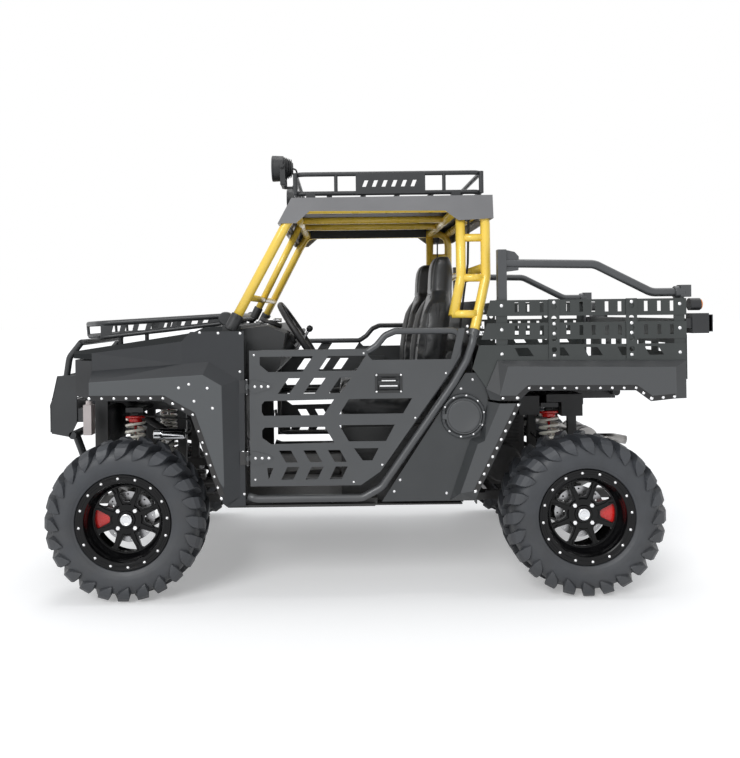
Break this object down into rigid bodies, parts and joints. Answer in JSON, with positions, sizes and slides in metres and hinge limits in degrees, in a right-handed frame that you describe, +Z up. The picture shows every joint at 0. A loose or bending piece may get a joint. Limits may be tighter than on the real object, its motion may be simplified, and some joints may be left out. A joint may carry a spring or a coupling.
{
  "type": "side by side utility vehicle",
  "caption": "Two-seat utility vehicle with roll cage, roof and front racks, cut-out doors, a tipping cargo bed, steered front wheels and open suspension.",
  "frame": {"origin": "on the ground, under the middle of the overall length and width", "axes": "+Z up, -Y towards the front of the vehicle, +X towards its left side"},
  "size_m": [1.5, 2.91, 1.893],
  "materials": {
    "bottle_white": "translucent moulding",
    "chassis_black": "satin powder coat",
    "trim_black": "fine grained moulding",
    "hood_black": "gloss moulding",
    "lamp_lens": "clear lens",
    "plate_grey": "satin charcoal paint",
    "tube_grey": "satin grey powder coat",
    "rack_black": "satin powder coat",
    "steel": "plain steel",
    "cast": "as cast, painted",
    "cage_yellow": "semi-gloss yellow paint",
    "seat_vinyl": "grained black vinyl",
    "grip_black": "soft grip",
    "caliper_red": "gloss red paint",
    "spring_cream": "gloss cream paint",
    "tyre_rubber": "moulded tread rubber",
    "rim_black": "gloss black paint"
  },
  "bodies": {
    "chassis": {"frame": "chassis_black", "upper_frames": "chassis_black", "door_hinges": "chassis_black", "floor_pan": "chassis_black", "seat_base": "chassis_black", "front_bumper": "chassis_black", "suspension_arms": "chassis_black", "coolant_bottle": "bottle_white", "radiator": "trim_black", "cabin_walls": "trim_black", "front_fascia": "trim_black", "dashboard": "trim_black", "steering_column": "trim_black", "air_box": "trim_black", "hood": "hood_black", "headlights": "lamp_lens", "front_fenders": "plate_grey", "rear_panels": "plate_grey", "roof": "plate_grey", "side_hoops": "tube_grey", "front_rack": "rack_black", "roof_rack": "rack_black", "roof_lamps": "rack_black", "winch": "steel", "muffler": "steel", "shock_absorbers": "steel", "engine_block": "cast", "driveline": "cast", "rear_knuckles": "cast", "roll_cage": "cage_yellow", "driver_seat": "seat_vinyl", "passenger_seat": "seat_vinyl", "rear_calipers": "caliper_red", "coil_springs": "spring_cream"},
    "steering_wheel": {"steering_wheel": "grip_black"},
    "tie_rods": {"tie_rods": "steel"},
    "left_knuckle": {"front_left_knuckle": "cast", "front_left_caliper": "caliper_red"},
    "right_knuckle": {"front_right_knuckle": "cast", "front_right_caliper": "caliper_red"},
    "front_left_wheel": {"front_left_tyre": "tyre_rubber", "front_left_rim": "rim_black"},
    "front_right_wheel": {"front_right_tyre": "tyre_rubber", "front_right_rim": "rim_black"},
    "rear_left_wheel": {"rear_left_tyre": "tyre_rubber", "rear_left_rim": "rim_black"},
    "rear_right_wheel": {"rear_right_tyre": "tyre_rubber", "rear_right_rim": "rim_black"},
    "left_door": {"left_door_frame": "tube_grey", "left_door_plate": "plate_grey"},
    "right_door": {"right_door_frame": "tube_grey", "right_door_plate": "plate_grey"},
    "fuel_flap": {"fuel_flap": "plate_grey"},
    "cargo_bed": {"bed_tub": "chassis_black", "bed_side_boards": "plate_grey", "bed_flares": "plate_grey", "bed_hoops": "tube_grey", "tail_lamps": "rack_black"},
    "tailgate": {"tailgate": "plate_grey"}
  },
  "joints": [
    {"name": "steering_wheel_turn", "type": "hinge", "parent": "chassis", "child": "steering_wheel", "pos_m": [0.33, -0.297, 1.095], "axis": [0, 0.8387, 0.5446], "range_deg": [-270, 270]},
    {"name": "rack_slide", "type": "slide", "parent": "chassis", "child": "tie_rods", "axis": [-1, 0, 0], "range_m": [-0.0405, 0.0405]},
    {"name": "left_steer", "type": "hinge", "parent": "chassis", "child": "left_knuckle", "pos_m": [0.575, -1.016, 0.334], "axis": [0, 0, 1], "range_deg": [-30.1, 30.1]},
    {"name": "right_steer", "type": "hinge", "parent": "chassis", "child": "right_knuckle", "pos_m": [-0.575, -1.016, 0.334], "axis": [0, 0, 1], "range_deg": [-30.1, 30.1]},
    {"name": "front_left_wheel_spin", "type": "hinge", "parent": "left_knuckle", "child": "front_left_wheel", "pos_m": [0.632, -1.016, 0.334], "axis": [1, 0, 0], "continuous": true},
    {"name": "front_right_wheel_spin", "type": "hinge", "parent": "right_knuckle", "child": "front_right_wheel", "pos_m": [-0.632, -1.016, 0.334], "axis": [1, 0, 0], "continuous": true},
    {"name": "rear_left_wheel_spin", "type": "hinge", "parent": "chassis", "child": "rear_left_wheel", "pos_m": [0.619, 0.904, 0.334], "axis": [1, 0, 0], "continuous": true},
    {"name": "rear_right_wheel_spin", "type": "hinge", "parent": "chassis", "child": "rear_right_wheel", "pos_m": [-0.619, 0.904, 0.334], "axis": [1, 0, 0], "continuous": true},
    {"name": "left_door_swing", "type": "hinge", "parent": "chassis", "child": "left_door", "pos_m": [0.71, -0.5, 0.739], "axis": [0, 0, -1], "range_deg": [0, 70]},
    {"name": "right_door_swing", "type": "hinge", "parent": "chassis", "child": "right_door", "pos_m": [-0.71, -0.5, 0.739], "axis": [0, 0, 1], "range_deg": [0, 70]},
    {"name": "fuel_flap_swing", "type": "hinge", "parent": "chassis", "child": "fuel_flap", "pos_m": [0.703, 0.318, 0.754], "axis": [0, 0, -1], "range_deg": [0, 110]},
    {"name": "cargo_bed_tilt", "type": "hinge", "parent": "chassis", "child": "cargo_bed", "pos_m": [0, 1.2, 0.8], "axis": [-1, 0, 0], "range_deg": [0, 40]},
    {"name": "tailgate_drop", "type": "hinge", "parent": "cargo_bed", "child": "tailgate", "pos_m": [0, 1.352, 0.878], "axis": [-1, 0, 0], "range_deg": [0, 90]}
  ],
  "couplings": [
    {"joint": "left_steer", "follows": "steering_wheel_turn", "ratio": 0.11111},
    {"joint": "right_steer", "follows": "steering_wheel_turn", "ratio": 0.11111},
    {"joint": "rack_slide", "follows": "steering_wheel_turn", "m_per_rad": 0.0085}
  ]
}
